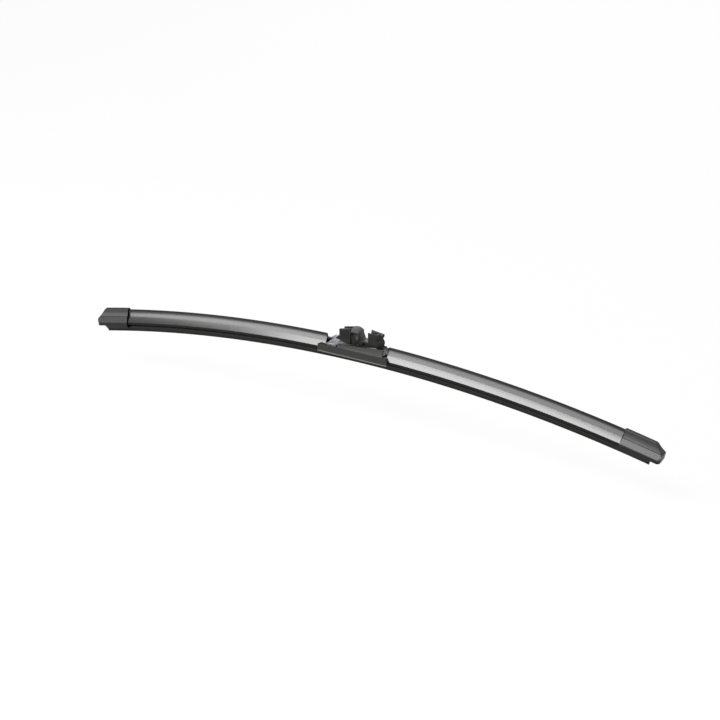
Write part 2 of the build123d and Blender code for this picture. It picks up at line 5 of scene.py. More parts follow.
import bmesh
import bpy
from bpy.props import FloatProperty, FloatVectorProperty, IntProperty, PointerProperty
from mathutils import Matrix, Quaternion, Vector


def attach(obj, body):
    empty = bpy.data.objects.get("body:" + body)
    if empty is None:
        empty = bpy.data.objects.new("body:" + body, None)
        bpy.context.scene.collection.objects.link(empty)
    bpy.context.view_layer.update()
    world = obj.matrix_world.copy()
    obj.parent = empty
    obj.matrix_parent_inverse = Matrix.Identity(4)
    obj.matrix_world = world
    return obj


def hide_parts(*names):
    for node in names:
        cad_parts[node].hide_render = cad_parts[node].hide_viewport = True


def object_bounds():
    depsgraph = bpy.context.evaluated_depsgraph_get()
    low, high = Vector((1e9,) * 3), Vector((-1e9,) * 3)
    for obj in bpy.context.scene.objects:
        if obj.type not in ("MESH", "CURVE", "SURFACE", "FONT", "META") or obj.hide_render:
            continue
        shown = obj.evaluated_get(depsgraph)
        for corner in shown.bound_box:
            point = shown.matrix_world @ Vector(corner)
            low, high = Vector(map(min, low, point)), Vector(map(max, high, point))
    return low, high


bl_info = {
    "name": "Wiper Blade",
    "version": (1, 0, 0),
    "blender": (4, 5, 0),
    "location": "3D View > Sidebar > Wiper",
    "description": "Builds the looks of a flat wiper blade round its packed solids",
    "category": "Object",
}

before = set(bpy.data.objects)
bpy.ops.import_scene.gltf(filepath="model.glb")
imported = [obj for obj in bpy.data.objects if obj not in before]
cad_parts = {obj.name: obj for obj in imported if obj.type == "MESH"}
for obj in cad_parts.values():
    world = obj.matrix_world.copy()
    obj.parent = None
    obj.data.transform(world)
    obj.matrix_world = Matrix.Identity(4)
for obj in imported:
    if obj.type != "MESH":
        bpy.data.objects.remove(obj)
cad_low, cad_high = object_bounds()

MM = 0.001

# Points this close are one point, and faces this thin are taken out.
MERGE_WITHIN = 0.002 * MM
SLIVER_WITHIN = 0.001 * MM

# Faces this level with each other are one face, and edges steeper than this are rounded.
FLAT_WITHIN = math.radians(0.3)
ROUND_FROM = math.radians(32)

# A corner straighter than this needs no round. In an outline a round takes at most this share of a side,
# and on a solid the faces beside a round are at least this many of its widths wide.
STRAIGHT_FROM = math.radians(150)
CORNER_SHARE = 0.45
ROOM_PER_ROUND = 2.1

# Creases stay sharp from these angles on, in degrees.
EXTRUDED_CRISP = 17
CAP_CRISP = 17
MOULDED_CRISP = 34
PIN_CRISP = 40

# Steps of the curved outlines, in degrees or as a count.
CREST_STEP = 15
PIN_STEP = 30
RIM_STEP = 9
FLANK_STEPS = 8
WEDGE_STEPS = 6
CORNER_STEPS = 6
FLOOR_SIDES = 72

# The picture's side in pixels, and the width of the camera's sensor in millimetres.
IMAGE_SIDE = 720
SENSOR_WIDTH = 36.0

# Watts that give a square metre of lamp one unit of radiance.
WATTS_PER_RADIANCE = 4


def length(name, description, millimetres):
    """A length that a user may change, written in millimetres."""
    return FloatProperty(
        name=name, description=description, default=millimetres * MM, unit="LENGTH", precision=5
    )


def angle(name, description, degrees):
    """An angle that a user may change, written in degrees."""
    return FloatProperty(name=name, description=description, default=math.radians(degrees), subtype="ANGLE")


def number(name, description, value):
    """A plain number that a user may change."""
    return FloatProperty(name=name, description=description, default=value)


def colour(name, description, value):
    """A colour that a user may change."""
    return FloatVectorProperty(
        name=name, description=description, default=value, subtype="COLOR", size=3, min=0.0, max=1.0
    )


class BladeLine(bpy.types.PropertyGroup):
    """The arc that the whole blade follows."""

    arc_radius: length("Arc radius", "Free curve of the wiping lip", 1036)
    pivot_height: length("Pivot height", "Middle of the pin above the wiping lip", 20)
    rail_end: length("Rail end", "Where the rails and the aerofoil end, from mid length", 217.5)
    rubber_left: length("Rubber left", "Where the rubber ends on the left, from mid length", 222.3)
    rubber_right: length("Rubber right", "Where the rubber ends on the right, from mid length", 219.2)
    aerofoil_left: length("Aerofoil left", "Inner end of the left half, from mid length", 25.4)
    aerofoil_right: length("Aerofoil right", "Inner end of the right half, from mid length", 23.6)
    steps: IntProperty(name="Steps", description="Slices along one extrusion", default=160, min=8)


class AerofoilSection(bpy.types.PropertyGroup):
    """Section of the aerofoil, with heights above the wiping lip."""

    crest_height: length("Crest height", "Top of the crest", 17.3)
    crest_radius: length("Crest radius", "Round of the crest", 0.45)
    crease_half: length("Crease half width", "Where the flank meets the lower facet", 2.3)
    crease_height: length("Crease height", "Height of the crease", 11.9)
    flank_hollow: length("Flank hollow", "How far the flank curves in", 0.25)
    edge_half: length("Edge half width", "Widest place of the aerofoil", 5.2)
    edge_height: length("Edge height", "Lower edge of the facet", 8.6)
    claw_base: length("Claw base", "Underside of the claws", 6.74)
    claw_top: length("Claw top", "Upper face of the claws, under the rails", 7.74)
    claw_inner: length("Claw inner", "Inner reach of the claws, from the middle", 3.25)
    slot_outer: length("Slot outer", "Outer wall of the rail slot", 4.1)
    slot_roof: length("Slot roof", "Roof of the rail slot beside its outer wall", 8.87)
    cavity_half: length("Cavity half width", "Cavity at the crease", 1.9)
    cavity_crease: length("Cavity crease", "Height of the cavity's corner", 11.37)
    cavity_top: length("Cavity top", "Top of the cavity under the crest", 13.6)
    cavity_tip: length("Cavity tip", "Half width of the cavity at its top", 0.3)
    corner_round: length("Corner round", "Round of the outer corners", 0.22)


class RubberSection(bpy.types.PropertyGroup):
    """Section of the wiping rubber, with heights above the wiping lip."""

    lip_half: length("Lip half width", "Half of the wiping lip", 0.35)
    lip_height: length("Lip height", "Square part of the lip", 0.9)
    shoulder_half: length("Shoulder half width", "Half of the wedge at its shoulders", 2.55)
    shoulder_height: length("Shoulder height", "Lower corner of the shoulders", 4.3)
    wedge_hollow: length("Wedge hollow", "How far the wedge's flank curves in", 0.35)
    neck_half: length("Neck half width", "Half of the thin neck", 0.55)
    neck_base: length("Neck base", "Top of the shoulders", 5.1)
    head_base: length("Head base", "Underside of the head", 5.9)
    head_half: length("Head half width", "Half of the head", 2.9)
    groove_base: length("Groove base", "Lower face of the rail grooves", 7.7)
    groove_top: length("Groove top", "Upper face of the rail grooves", 8.7)
    web_half: length("Web half width", "Half of the web between the rails", 0.8)
    crown_half: length("Crown half width", "Half of the crown above the rails", 2.0)
    crown_top: length("Crown top", "Top of the crown", 9.9)
    corner_round: length("Corner round", "Round of the outer corners", 0.12)


class RailSection(bpy.types.PropertyGroup):
    """Section of a sprung rail, with heights above the wiping lip."""

    inner: length("Rail inner", "Inner edge, from the middle", 0.9)
    outer: length("Rail outer", "Outer edge, from the middle", 4.0)
    base: length("Rail base", "Lower face", 7.8)
    top: length("Rail top", "Upper face", 8.6)
    corner_round: length("Corner round", "Round of the rolled edges", 0.18)


class PinSizes(bpy.types.PropertyGroup):
    """The pivot pin with its turned ends."""

    radius: length("Radius", "Radius of the pin", 1.25)
    half_length: length("Half length", "From the middle to the end", 3.75)
    end_round: length("End round", "Round of the ends", 0.35)
    centre_radius: length("Centre radius", "Mouth of the centre hole of the turning", 0.55)
    centre_depth: length("Centre depth", "Depth of the centre hole", 0.4)
    sides: IntProperty(name="Sides", description="Slices round the pin", default=48, min=12)


class EdgeRounds(bpy.types.PropertyGroup):
    """Rounds on the edges of the moulded and folded pieces."""

    cap: length("Cap edge", "Round on the end caps", 0.25)
    cover: length("Cover edge", "Round on the base cover", 0.18)
    adaptor: length("Adaptor edge", "Round on the arm adaptor", 0.18)
    saddle: length("Saddle edge", "Round on the sheet's edges", 0.12)


class BladeColours(bpy.types.PropertyGroup):
    """Colours of the finishes."""

    aerofoil: colour("Aerofoil", "Extruded plastic", (0.016, 0.016, 0.017))
    cap: colour("Caps", "Grained moulding", (0.018, 0.0183, 0.0186))
    cover: colour("Cover", "Satin moulding", (0.0205, 0.0208, 0.0192))
    adaptor: colour("Adaptor", "Satin moulding", (0.0092, 0.0088, 0.008))
    rubber: colour("Rubber", "Graphite coated rubber", (0.0125, 0.0108, 0.0096))
    saddle: colour("Saddle", "Plated sheet", (0.37, 0.381, 0.403))
    pin: colour("Pin", "Turned steel", (0.09, 0.09, 0.093))
    rail: colour("Rails", "Rolled spring steel", (0.42, 0.42, 0.43))
    floor: colour("Floor", "Pale floor", (0.9, 0.9, 0.9))


class StudioSizes(bpy.types.PropertyGroup):
    """Camera, floor and lamps."""

    camera_distance: length("Camera distance", "From the lip at mid length to the camera", 1238)
    camera_turn: angle("Camera turn", "To the right of square on", 30.0)
    camera_rise: angle("Camera rise", "Above the level", 24.69)
    focal_pixels: number("Focal length", "Focal length in image pixels", 1766.0)
    middle_across: number("Middle across", "Image column of mid length", 359.33)
    middle_down: number("Middle down", "Image row of mid length", 362.47)
    floor_radius: length("Floor radius", "Radius of the floor with its rim", 4500)
    floor_drop: length("Floor drop", "Room under the blade's ends, so that it can rock on its pin", 33)
    rim_height: length("Rim height", "Rise of the floor's rim, which is the backdrop", 900)
    floor_glow: FloatProperty(
        name="Floor glow", description="Share of the floor that stays white", default=0.9, subtype="FACTOR"
    )
    sky_level: number("Sky level", "Light from the room", 0.22)


class Wire:
    """An output socket that takes part in sums: each operator adds a Math node."""

    def __init__(self, bench, socket):
        self.bench = bench
        self.socket = socket

    def output(self, name):
        """Another output of the same node."""
        return Wire(self.bench, self.socket.node.outputs[name])

    def __add__(self, other):
        return self.bench.math("ADD", self, other)

    def __radd__(self, other):
        return self.bench.math("ADD", other, self)

    def __sub__(self, other):
        return self.bench.math("SUBTRACT", self, other)

    def __rsub__(self, other):
        return self.bench.math("SUBTRACT", other, self)

    def __mul__(self, other):
        return self.bench.math("MULTIPLY", self, other)

    def __truediv__(self, other):
        return self.bench.math("DIVIDE", self, other)

    def __pow__(self, other):
        return self.bench.math("POWER", self, other)


class Bench:
    """A node tree with one way to add a node."""

    def __init__(self, tree):
        self.tree = tree

    def node(self, kind, settings=None, inputs=None, output=0):
        """Add a node, set its settings, then its sockets, and return one of its outputs."""
        made = self.tree.nodes.new(kind)
        for name, value in (settings or {}).items():
            setattr(made, name, value)
        for key, value in (inputs or {}).items():
            self.feed(made.inputs[key], value)
        return Wire(self, made.outputs[output]) if len(made.outputs) else None

    def feed(self, socket, value):
        """Link a wire to a socket, or set the socket's own value."""
        if isinstance(value, Wire):
            self.tree.links.new(value.socket, socket)
        else:
            socket.default_value = value

    def math(self, operation, first, second=0.0):
        """A Math node on two values."""
        return self.node("ShaderNodeMath", {"operation": operation}, {0: first, 1: second})

    def coordinates(self):
        """Where a point of a surface lies in its object."""
        return self.node("ShaderNodeTexCoord", output="Object")

    def vector(self, x, y, z):
        """Three values as one vector."""
        return self.node("ShaderNodeCombineXYZ", None, {0: x, 1: y, 2: z})

    def parts(self, vector):
        """The three values of a vector."""
        first = self.node("ShaderNodeSeparateXYZ", None, {0: vector}, "X")
        return first, first.output("Y"), first.output("Z")

    def shades(self, factor, base, dark, light):
        """A colour between a darker and a lighter shade of a base colour."""
        inputs = {0: factor, 6: (*shade(base, dark), 1.0), 7: (*shade(base, light), 1.0)}
        return self.node("ShaderNodeMix", {"data_type": "RGBA"}, inputs, 2)

    def noise(self, place, scale, detail=2.0, roughness=0.5):
        """Value of a noise at a place."""
        inputs = {"Vector": place, "Scale": scale, "Detail": detail, "Roughness": roughness}
        return self.node("ShaderNodeTexNoise", None, inputs, "Fac")

    def streaks(self, place, scales, detail=2.0, roughness=0.5):
        """Value of a noise at a place whose three parts have scales of their own."""
        scaled = [part * scale for part, scale in zip(place, scales)]
        return self.noise(self.vector(*scaled), 1.0, detail, roughness)

    def ramp(self, value, low, high):
        """Value moved from low..high to 0..1, and kept there."""
        inputs = {"Value": value, "From Min": low, "From Max": high}
        return self.node("ShaderNodeMapRange", {"clamp": True}, inputs)


def shade(value, factor):
    """A colour made lighter or darker."""
    return tuple(min(1.0, channel * factor) for channel in value)


def blade_place(bench, line):
    """Distance along the arc, across it, and from the arc's centre, for each point of a surface."""
    x, across, z = bench.parts(bench.coordinates())
    drop = z + (line.arc_radius + line.pivot_height)
    reach = (x * x + drop * drop) ** 0.5
    along = bench.math("ARCTAN2", x, drop) * line.arc_radius
    return along, across, reach


def start_finish(name):
    """A new material with its bench and its main shader."""
    material = bpy.data.materials.new(name)
    material.use_nodes = True
    return material, Bench(material.node_tree), material.node_tree.nodes["Principled BSDF"]


def dress(bench, shader, surface, height, depth, strength, constants):
    """Feed a shader what varies over the surface, a bump and what stays the same."""
    for name, value in constants.items():
        shader.inputs[name].default_value = value
    for name, value in surface.items():
        bench.feed(shader.inputs[name], value)
    inputs = {"Height": height, "Distance": depth, "Strength": strength}
    bench.feed(shader.inputs["Normal"], bench.node("ShaderNodeBump", None, inputs, "Normal"))


def aerofoil_finish(line, section, base):
    """Extruded plastic with faint draw lines, glossy between the crest and the lower edge, with painted
    shade that darkens the claws below the lower edge.
    """
    material, bench, shader = start_finish("aerofoil_plastic")
    place = blade_place(bench, line)
    height = place[2] - line.arc_radius
    above_edge = bench.ramp(height, section.edge_height - 0.1 * MM, section.edge_height + 0.15 * MM)
    near_crest = bench.ramp(height, section.crest_height - 2.4 * MM, section.crest_height - 1.0 * MM)
    gloss = above_edge * (1.0 - near_crest)
    draw = bench.streaks(place, (4.0, 700.0, 700.0), detail=3.0)
    cloud = bench.streaks(place, (30.0, 60.0, 60.0))
    # Painted shade: below the lower edge the colour drops to 0.3 of itself, on the claws under the facet.
    tone = (draw * 0.6 + cloud * 0.4) * (0.3 + above_edge * 0.7)
    surface = {
        "Base Color": bench.shades(tone, base, dark=0.35, light=1.6),
        "Roughness": 0.3 + draw * 0.05 + cloud * 0.06,
        "Coat Weight": gloss * (0.9 + cloud * 0.1),
    }
    constants = {"Specular IOR Level": 0.1, "Coat IOR": 1.74, "Coat Roughness": 0.23}
    dress(bench, shader, surface, draw, depth=0.02 * MM, strength=0.2, constants=constants)
    return material


def cap_finish(line, section, base):
    """Moulded plastic with a fine spark-eroded grain, polished round the crease and dull at the ends, with
    painted shade that darkens the downward skirt.
    """
    material, bench, shader = start_finish("cap_plastic")
    height = blade_place(bench, line)[2] - line.arc_radius
    # polish sets the coat above the lower edge. It also carries painted shade: below that edge the skirt's
    # colour drops to a quarter.
    polish = bench.ramp(height, section.edge_height - 0.4 * MM, section.edge_height + 0.8 * MM)
    crease_height = section.crease_height + 0.55 * MM
    from_crease = bench.math("ABSOLUTE", height - crease_height)
    crease = 1.0 - bench.ramp(from_crease, 0.1 * MM, 0.35 * MM)
    near_crest = bench.ramp(height, section.crease_height + 1.0 * MM, section.crest_height - 1.0 * MM)
    place = bench.coordinates()
    endways = bench.parts(place.output("Normal"))[0]
    end_face = bench.ramp(bench.math("ABSOLUTE", endways), 0.75, 0.95)
    shine = (1.0 - near_crest * 0.65) * (1.0 - end_face * 0.85)
    grain = bench.noise(place, scale=2600.0, detail=3.0, roughness=0.6)
    flow = bench.noise(place, scale=90.0)
    # Painted shade: the colour falls to a quarter on the skirt below the lower edge.
    tone = (grain * 0.5 + flow * 0.5) * (0.25 + polish * 0.75)
    surface = {
        "Base Color": bench.shades(tone, base, dark=0.45, light=1.6),
        "Roughness": 0.36 + grain * 0.1 + flow * 0.06,
        "Coat Weight": polish * (0.85 + grain * 0.15) * (1.0 - crease) * shine,
    }
    constants = {"Specular IOR Level": 0.2, "Coat IOR": 1.53, "Coat Roughness": 0.4}
    dress(bench, shader, surface, grain - crease * 6.0, depth=0.035 * MM, strength=0.3, constants=constants)
    return material


def cover_finish(line, section, base):
    """Satin moulding of the base cover, polished on the shoulders where hands touch it and on the bead."""
    material, bench, shader = start_finish("cover_plastic")
    place = bench.coordinates()
    x, _, z = bench.parts(place)
    level = z + line.pivot_height
    shoulder = bench.ramp(level, section.crease_height - 1.3 * MM, section.crease_height - 0.7 * MM)
    handled = bench.ramp(x, -12 * MM, 0.0)
    bead = 1.0 - bench.ramp(level, section.claw_base - 0.75 * MM, section.claw_base - 0.65 * MM)
    grain = bench.noise(place, scale=2200.0, detail=3.0, roughness=0.6)
    flow = bench.noise(place, scale=120.0)
    surface = {
        "Base Color": bench.shades(grain * 0.4 + flow * 0.6, base, dark=0.75, light=1.3),
        "Roughness": 0.38 + grain * 0.12 + flow * 0.05,
        "Coat Weight": shoulder * handled * (0.12 + flow * 0.15) + bead * 0.75,
    }
    constants = {"Specular IOR Level": 0.22, "Coat IOR": 1.5, "Coat Roughness": 0.38}
    dress(bench, shader, surface, grain, depth=0.03 * MM, strength=0.35, constants=constants)
    return material


def adaptor_finish(base):
    """Glass-filled satin plastic with flow marks and pale fibre specks, polished where it faces up."""
    material, bench, shader = start_finish("adaptor_plastic")
    place = bench.coordinates()
    upward = bench.parts(place.output("Normal"))[2]
    polish = bench.ramp(upward, 0.1, 0.4)
    flow = bench.streaks(bench.parts(place), (250.0, 600.0, 600.0), detail=3.0)
    grain = bench.noise(place, scale=2800.0)
    speck = bench.ramp(bench.noise(place, scale=3400.0, detail=1.0), 0.66, 0.74)
    surface = {
        "Base Color": bench.shades(flow * 0.7 + speck * 0.3, base, dark=0.7, light=1.5),
        "Roughness": 0.36 + grain * 0.12 + flow * 0.06,
        "Coat Weight": polish * (0.4 + flow * 0.35),
    }
    constants = {"Specular IOR Level": 0.22, "Coat IOR": 1.5, "Coat Roughness": 0.38}
    dress(bench, shader, surface, grain, depth=0.03 * MM, strength=0.3, constants=constants)
    return material


def rubber_finish(line, base):
    """Graphite coated rubber with fine lines along the blade and a dusty bloom."""
    material, bench, shader = start_finish("rubber")
    place = blade_place(bench, line)
    draw = bench.streaks(place, (8.0, 1500.0, 1500.0), detail=3.0)
    bloom = bench.streaks(place, (60.0, 120.0, 240.0), detail=4.0, roughness=0.6)
    dusty = bench.ramp(bloom, 0.45, 0.75)
    surface = {
        "Base Color": bench.shades(dusty * 0.6 + draw * 0.3, base, dark=0.7, light=2.0),
        "Roughness": 0.55 + dusty * 0.2 + draw * 0.06,
    }
    constants = {"Specular IOR Level": 0.12}
    dress(bench, shader, surface, draw, depth=0.03 * MM, strength=0.4, constants=constants)
    return material


def saddle_finish(base):
    """Plated sheet, brushed along the blade, with cloudy plating."""
    material, bench, shader = start_finish("saddle_steel")
    place = bench.coordinates()
    brush = bench.streaks(bench.parts(place), (60.0, 2600.0, 900.0), detail=3.0)
    spangle = bench.noise(place, scale=420.0)
    cloud = bench.ramp(spangle, 0.36, 0.64)
    surface = {
        "Base Color": bench.shades(brush * 0.3 + cloud * 0.7, base, dark=0.4, light=1.45),
        "Roughness": 0.42 + brush * 0.14 + spangle * 0.1,
    }
    dress(bench, shader, surface, brush, depth=0.015 * MM, strength=0.35, constants={"Metallic": 1.0})
    return material


def pin_finish(base):
    """Turned steel: rings round the pin's own line."""
    material, bench, shader = start_finish("pin_steel")
    place = bench.coordinates()
    x, _, z = bench.parts(place)
    reach = (x * x + z * z) ** 0.5
    ring_rate = 42000.0
    ring = bench.math("SINE", reach * ring_rate) * 0.5 + 0.5
    smear = bench.noise(place, scale=700.0)
    surface = {
        "Base Color": bench.shades(ring * 0.4 + smear * 0.6, base, dark=0.8, light=1.12),
        "Roughness": 0.24 + ring * 0.08 + smear * 0.12,
    }
    dress(bench, shader, surface, ring, depth=0.012 * MM, strength=0.3, constants={"Metallic": 1.0})
    return material


def rail_finish(line, base):
    """Rolled spring steel with a dark temper bloom and roll lines along the blade."""
    material, bench, shader = start_finish("rail_steel")
    place = blade_place(bench, line)
    roll = bench.streaks(place, (10.0, 2400.0, 2400.0))
    bloom = bench.streaks(place, (25.0, 150.0, 150.0), detail=3.0)
    surface = {
        "Base Color": bench.shades(roll * 0.3 + bloom * 0.7, base, dark=0.6, light=1.3),
        "Roughness": 0.28 + roll * 0.1 + bloom * 0.12,
    }
    dress(bench, shader, surface, roll, depth=0.015 * MM, strength=0.3, constants={"Metallic": 1.0})
    return material


def rounded(corners, radius):
    """Outline with each corner that has room cut to a round of a radius."""
    outline = []
    count = len(corners)
    for index, corner in enumerate(corners):
        before = corners[index - 1] - corner
        after = corners[(index + 1) % count] - corner
        turn = before.angle(after)
        reach = radius / math.tan(turn / 2)
        if turn > STRAIGHT_FROM or reach > CORNER_SHARE * min(before.length, after.length):
            outline.append(corner)
            continue
        start = corner + before.normalized() * reach
        end = corner + after.normalized() * reach
        for step in range(CORNER_STEPS + 1):
            share = step / CORNER_STEPS
            blend = start.lerp(corner, share).lerp(corner.lerp(end, share), share)
            outline.append(blend)
    return outline


def mirrored(half):
    """Closed outline from its right half, which starts and ends on the middle line."""
    left = [Vector((-point.x, point.y)) for point in reversed(half[1:-1])]
    return half + left


def hollow_arc(start, end, depth, steps):
    """Points on an arc between two points that bends to the right of the way by depth, ends left out."""
    chord = end - start
    side = Vector((-chord.y, chord.x)).normalized()
    points = []
    for step in range(1, steps):
        share = step / steps
        bend = depth * 4 * share * (1 - share)
        points.append(start.lerp(end, share) - side * bend)
    return points


def aerofoil_outline(section):
    """Section of the aerofoil: crest, hollow flank, crease, lower facet, claw, rail slot and cavity."""
    middle = section.crest_height - section.crest_radius
    half = []
    for degree in range(90, -1, -CREST_STEP):
        turn = math.radians(degree)
        reach = section.crest_radius
        half.append(Vector((reach * math.cos(turn), middle + reach * math.sin(turn))))
    crease = Vector((section.crease_half, section.crease_height))
    half += hollow_arc(half[-1], crease, section.flank_hollow, FLANK_STEPS)
    half += [
        crease,
        Vector((section.edge_half, section.edge_height)),
        Vector((section.edge_half, section.claw_base)),
        Vector((section.claw_inner, section.claw_base)),
        Vector((section.claw_inner, section.claw_top)),
        Vector((section.slot_outer, section.claw_top)),
        Vector((section.slot_outer, section.slot_roof)),
        Vector((section.cavity_half, section.cavity_crease)),
        Vector((section.cavity_tip, section.cavity_top)),
        Vector((0.0, section.cavity_top)),
    ]
    return rounded(mirrored(half), section.corner_round)


def rubber_outline(section):
    """Section of the rubber: lip, hollow wedge, shoulders, neck, head, rail grooves and crown."""
    lip = Vector((section.lip_half, section.lip_height))
    shoulder = Vector((section.shoulder_half, section.shoulder_height))
    half = [Vector((0.0, 0.0)), Vector((section.lip_half, 0.0)), lip]
    half += hollow_arc(lip, shoulder, -section.wedge_hollow, WEDGE_STEPS)
    half += [
        shoulder,
        Vector((section.shoulder_half, section.neck_base)),
        Vector((section.neck_half, section.neck_base)),
        Vector((section.neck_half, section.head_base)),
        Vector((section.head_half, section.head_base)),
        Vector((section.head_half, section.groove_base)),
        Vector((section.web_half, section.groove_base)),
        Vector((section.web_half, section.groove_top)),
        Vector((section.crown_half, section.groove_top)),
        Vector((section.crown_half, section.crown_top)),
        Vector((0.0, section.crown_top)),
    ]
    return rounded(mirrored(half), section.corner_round)


def rail_outline(section, side):
    """Section of one rail, on the front side at -1 or the rear side at 1."""
    inner = side * section.inner
    outer = side * section.outer
    corners = [
        Vector((inner, section.base)),
        Vector((outer, section.base)),
        Vector((outer, section.top)),
        Vector((inner, section.top)),
    ]
    return rounded(corners, section.corner_round)


def arc_extrusion():
    """Tree that carries a profile along the blade's arc from one distance to another."""
    tree = bpy.data.node_groups.new("arc_extrusion", "GeometryNodeTree")
    kinds = {
        "Profile": "NodeSocketObject",
        "Start": "NodeSocketFloat",
        "End": "NodeSocketFloat",
        "Arc Radius": "NodeSocketFloat",
        "Centre Height": "NodeSocketFloat",
        "Steps": "NodeSocketInt",
        "Finish": "NodeSocketMaterial",
    }
    for name, kind in kinds.items():
        tree.interface.new_socket(name, in_out="INPUT", socket_type=kind)
    tree.interface.new_socket("Geometry", in_out="OUTPUT", socket_type="NodeSocketGeometry")
    bench = Bench(tree)
    given = bench.node("NodeGroupInput")
    radius = given.output("Arc Radius")
    ends = {
        "Start": bench.vector(given.output("Start"), 0.0, 0.0),
        "End": bench.vector(given.output("End"), 0.0, 0.0),
    }
    line = bench.node("GeometryNodeCurvePrimitiveLine", None, ends)
    slices = {"Curve": line, "Count": given.output("Steps")}
    line = bench.node("GeometryNodeResampleCurve", {"mode": "COUNT"}, slices)
    place = bench.node("GeometryNodeInputPosition")
    turn = bench.parts(place)[0] / radius
    level = bench.math("COSINE", turn) * radius + given.output("Centre Height")
    bent = bench.vector(bench.math("SINE", turn) * radius, 0.0, level)
    path = bench.node("GeometryNodeSetPosition", None, {"Geometry": line, "Position": bent})
    path = bench.node("GeometryNodeSetCurveNormal", {"mode": "Z_UP"}, {"Curve": path})
    section = bench.node("GeometryNodeObjectInfo", None, {"Object": given.output("Profile")}, "Geometry")
    sweep = {"Curve": path, "Profile Curve": section, "Fill Caps": True}
    body = bench.node("GeometryNodeCurveToMesh", None, sweep)
    body = bench.node("GeometryNodeRealizeInstances", None, {"Geometry": body})
    dressed = {"Geometry": body, "Material": given.output("Finish")}
    body = bench.node("GeometryNodeSetMaterial", None, dressed)
    bench.node("NodeGroupOutput", None, {"Geometry": body})
    return tree


def profile_curve(outline):
    """A closed curve that holds a section turned by half a turn, as the sweep lays X forward and Y down."""
    curve = bpy.data.curves.new("section", "CURVE")
    curve.dimensions = "2D"
    curve.fill_mode = "NONE"
    spline = curve.splines.new("POLY")
    spline.points.add(len(outline) - 1)
    for point, corner in zip(spline.points, outline):
        point.co = (-corner.x, -corner.y, 0.0, 1.0)
    spline.use_cyclic_u = True
    holder = bpy.data.objects.new("section", curve)
    bpy.context.scene.collection.objects.link(holder)
    return holder


def smooth(mesh, degrees):
    """Shade a mesh smooth, and keep edges sharper than an angle."""
    mesh.shade_smooth()
    mesh.set_sharp_from_angle(angle=math.radians(degrees))


def new_piece(name, mesh):
    """A new object at the origin."""
    piece = bpy.data.objects.new(name, mesh)
    bpy.context.scene.collection.objects.link(piece)
    return piece


def settled(piece):
    """Turn what a piece's modifiers make into its own plain mesh."""
    graph = bpy.context.evaluated_depsgraph_get()
    mesh = bpy.data.meshes.new_from_object(piece.evaluated_get(graph))
    mesh.name = piece.name
    piece.modifiers.clear()
    piece.data = mesh


def extruded(name, outline, start, end, line, finish):
    """A piece with one section along the blade's arc."""
    tree = bpy.data.node_groups.get("arc_extrusion") or arc_extrusion()
    holder = profile_curve(outline)
    piece = new_piece(name, bpy.data.meshes.new(name))
    modifier = piece.modifiers.new("extrusion", "NODES")
    modifier.node_group = tree
    values = {
        "Profile": holder,
        "Start": start,
        "End": end,
        "Arc Radius": line.arc_radius,
        "Centre Height": -line.arc_radius - line.pivot_height,
        "Steps": line.steps,
        "Finish": finish,
    }
    for item in tree.interface.items_tree:
        if item.in_out == "INPUT":
            modifier[item.identifier] = values[item.name]
    settled(piece)
    shape = bmesh.new()
    shape.from_mesh(piece.data)
    bmesh.ops.recalc_face_normals(shape, faces=shape.faces)
    shape.to_mesh(piece.data)
    shape.free()
    smooth(piece.data, EXTRUDED_CRISP)
    bpy.data.objects.remove(holder)
    return piece


def has_room(edge, width):
    """Whether the faces beside an edge are wide enough for a round of a width."""
    for loop in edge.link_loops:
        ahead = loop.link_loop_next
        for corner, beside in ((loop, loop.link_loop_prev), (ahead, ahead)):
            turn = corner.calc_angle()
            room = beside.edge.calc_length() * math.sin(turn)
            if turn < STRAIGHT_FROM and room < ROOM_PER_ROUND * width:
                return False
    return True


def round_edges(shape, width, segments):
    """Round the steep edges that have room for it."""
    steep = [edge for edge in shape.edges if edge.calc_face_angle(0.0) > ROUND_FROM]
    bmesh.ops.bevel(
        shape,
        geom=[edge for edge in steep if has_room(edge, width)],
        offset=width,
        offset_type="OFFSET",
        segments=segments,
        profile=0.5,
        affect="EDGES",
        miter_outer="ARC",
    )
    bmesh.ops.dissolve_degenerate(shape, dist=SLIVER_WITHIN, edges=shape.edges)


def moulded(name, node, width, finish, crisp=MOULDED_CRISP, swapped=False):
    """A copy of a solid, end for end if swapped, with rounds of a width and creases from an angle on."""
    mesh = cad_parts[node].data.copy()
    mesh.name = name
    shape = bmesh.new()
    shape.from_mesh(mesh)
    bmesh.ops.remove_doubles(shape, verts=shape.verts, dist=MERGE_WITHIN)
    if swapped:
        bmesh.ops.scale(shape, vec=(-1.0, 1.0, 1.0), verts=shape.verts)
        bmesh.ops.recalc_face_normals(shape, faces=shape.faces)
    bmesh.ops.dissolve_limit(
        shape, angle_limit=FLAT_WITHIN, verts=shape.verts, edges=shape.edges, use_dissolve_boundaries=False
    )
    round_edges(shape, width, math.ceil(90 / crisp))
    shape.to_mesh(mesh)
    shape.free()
    mesh.materials.clear()
    mesh.materials.append(finish)
    smooth(mesh, crisp)
    piece = new_piece(name, mesh)
    flats = piece.modifiers.new("flats", "WEIGHTED_NORMAL")
    flats.keep_sharp = True
    settled(piece)
    return piece


def place_piece(piece, body, node):
    """Let a piece ride on its body and stand for its solid, which it hides."""
    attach(piece, body)
    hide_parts(node)


class WIPER_OT_aerofoils(bpy.types.Operator):
    """Carry the aerofoil's section along both halves of the blade"""

    bl_idname = "wiper.aerofoils"
    bl_label = "Aerofoils"

    def execute(self, context):
        scene = context.scene
        line = scene.wiper_line
        finish = aerofoil_finish(line, scene.wiper_aerofoil, scene.wiper_colours.aerofoil)
        outline = aerofoil_outline(scene.wiper_aerofoil)
        left = extruded("left_spoiler", outline, -line.rail_end, -line.aerofoil_left, line, finish)
        right = extruded("right_spoiler", outline, line.aerofoil_right, line.rail_end, line, finish)
        place_piece(left, "blade", "left_aerofoil")
        place_piece(right, "blade", "right_aerofoil")
        return {"FINISHED"}


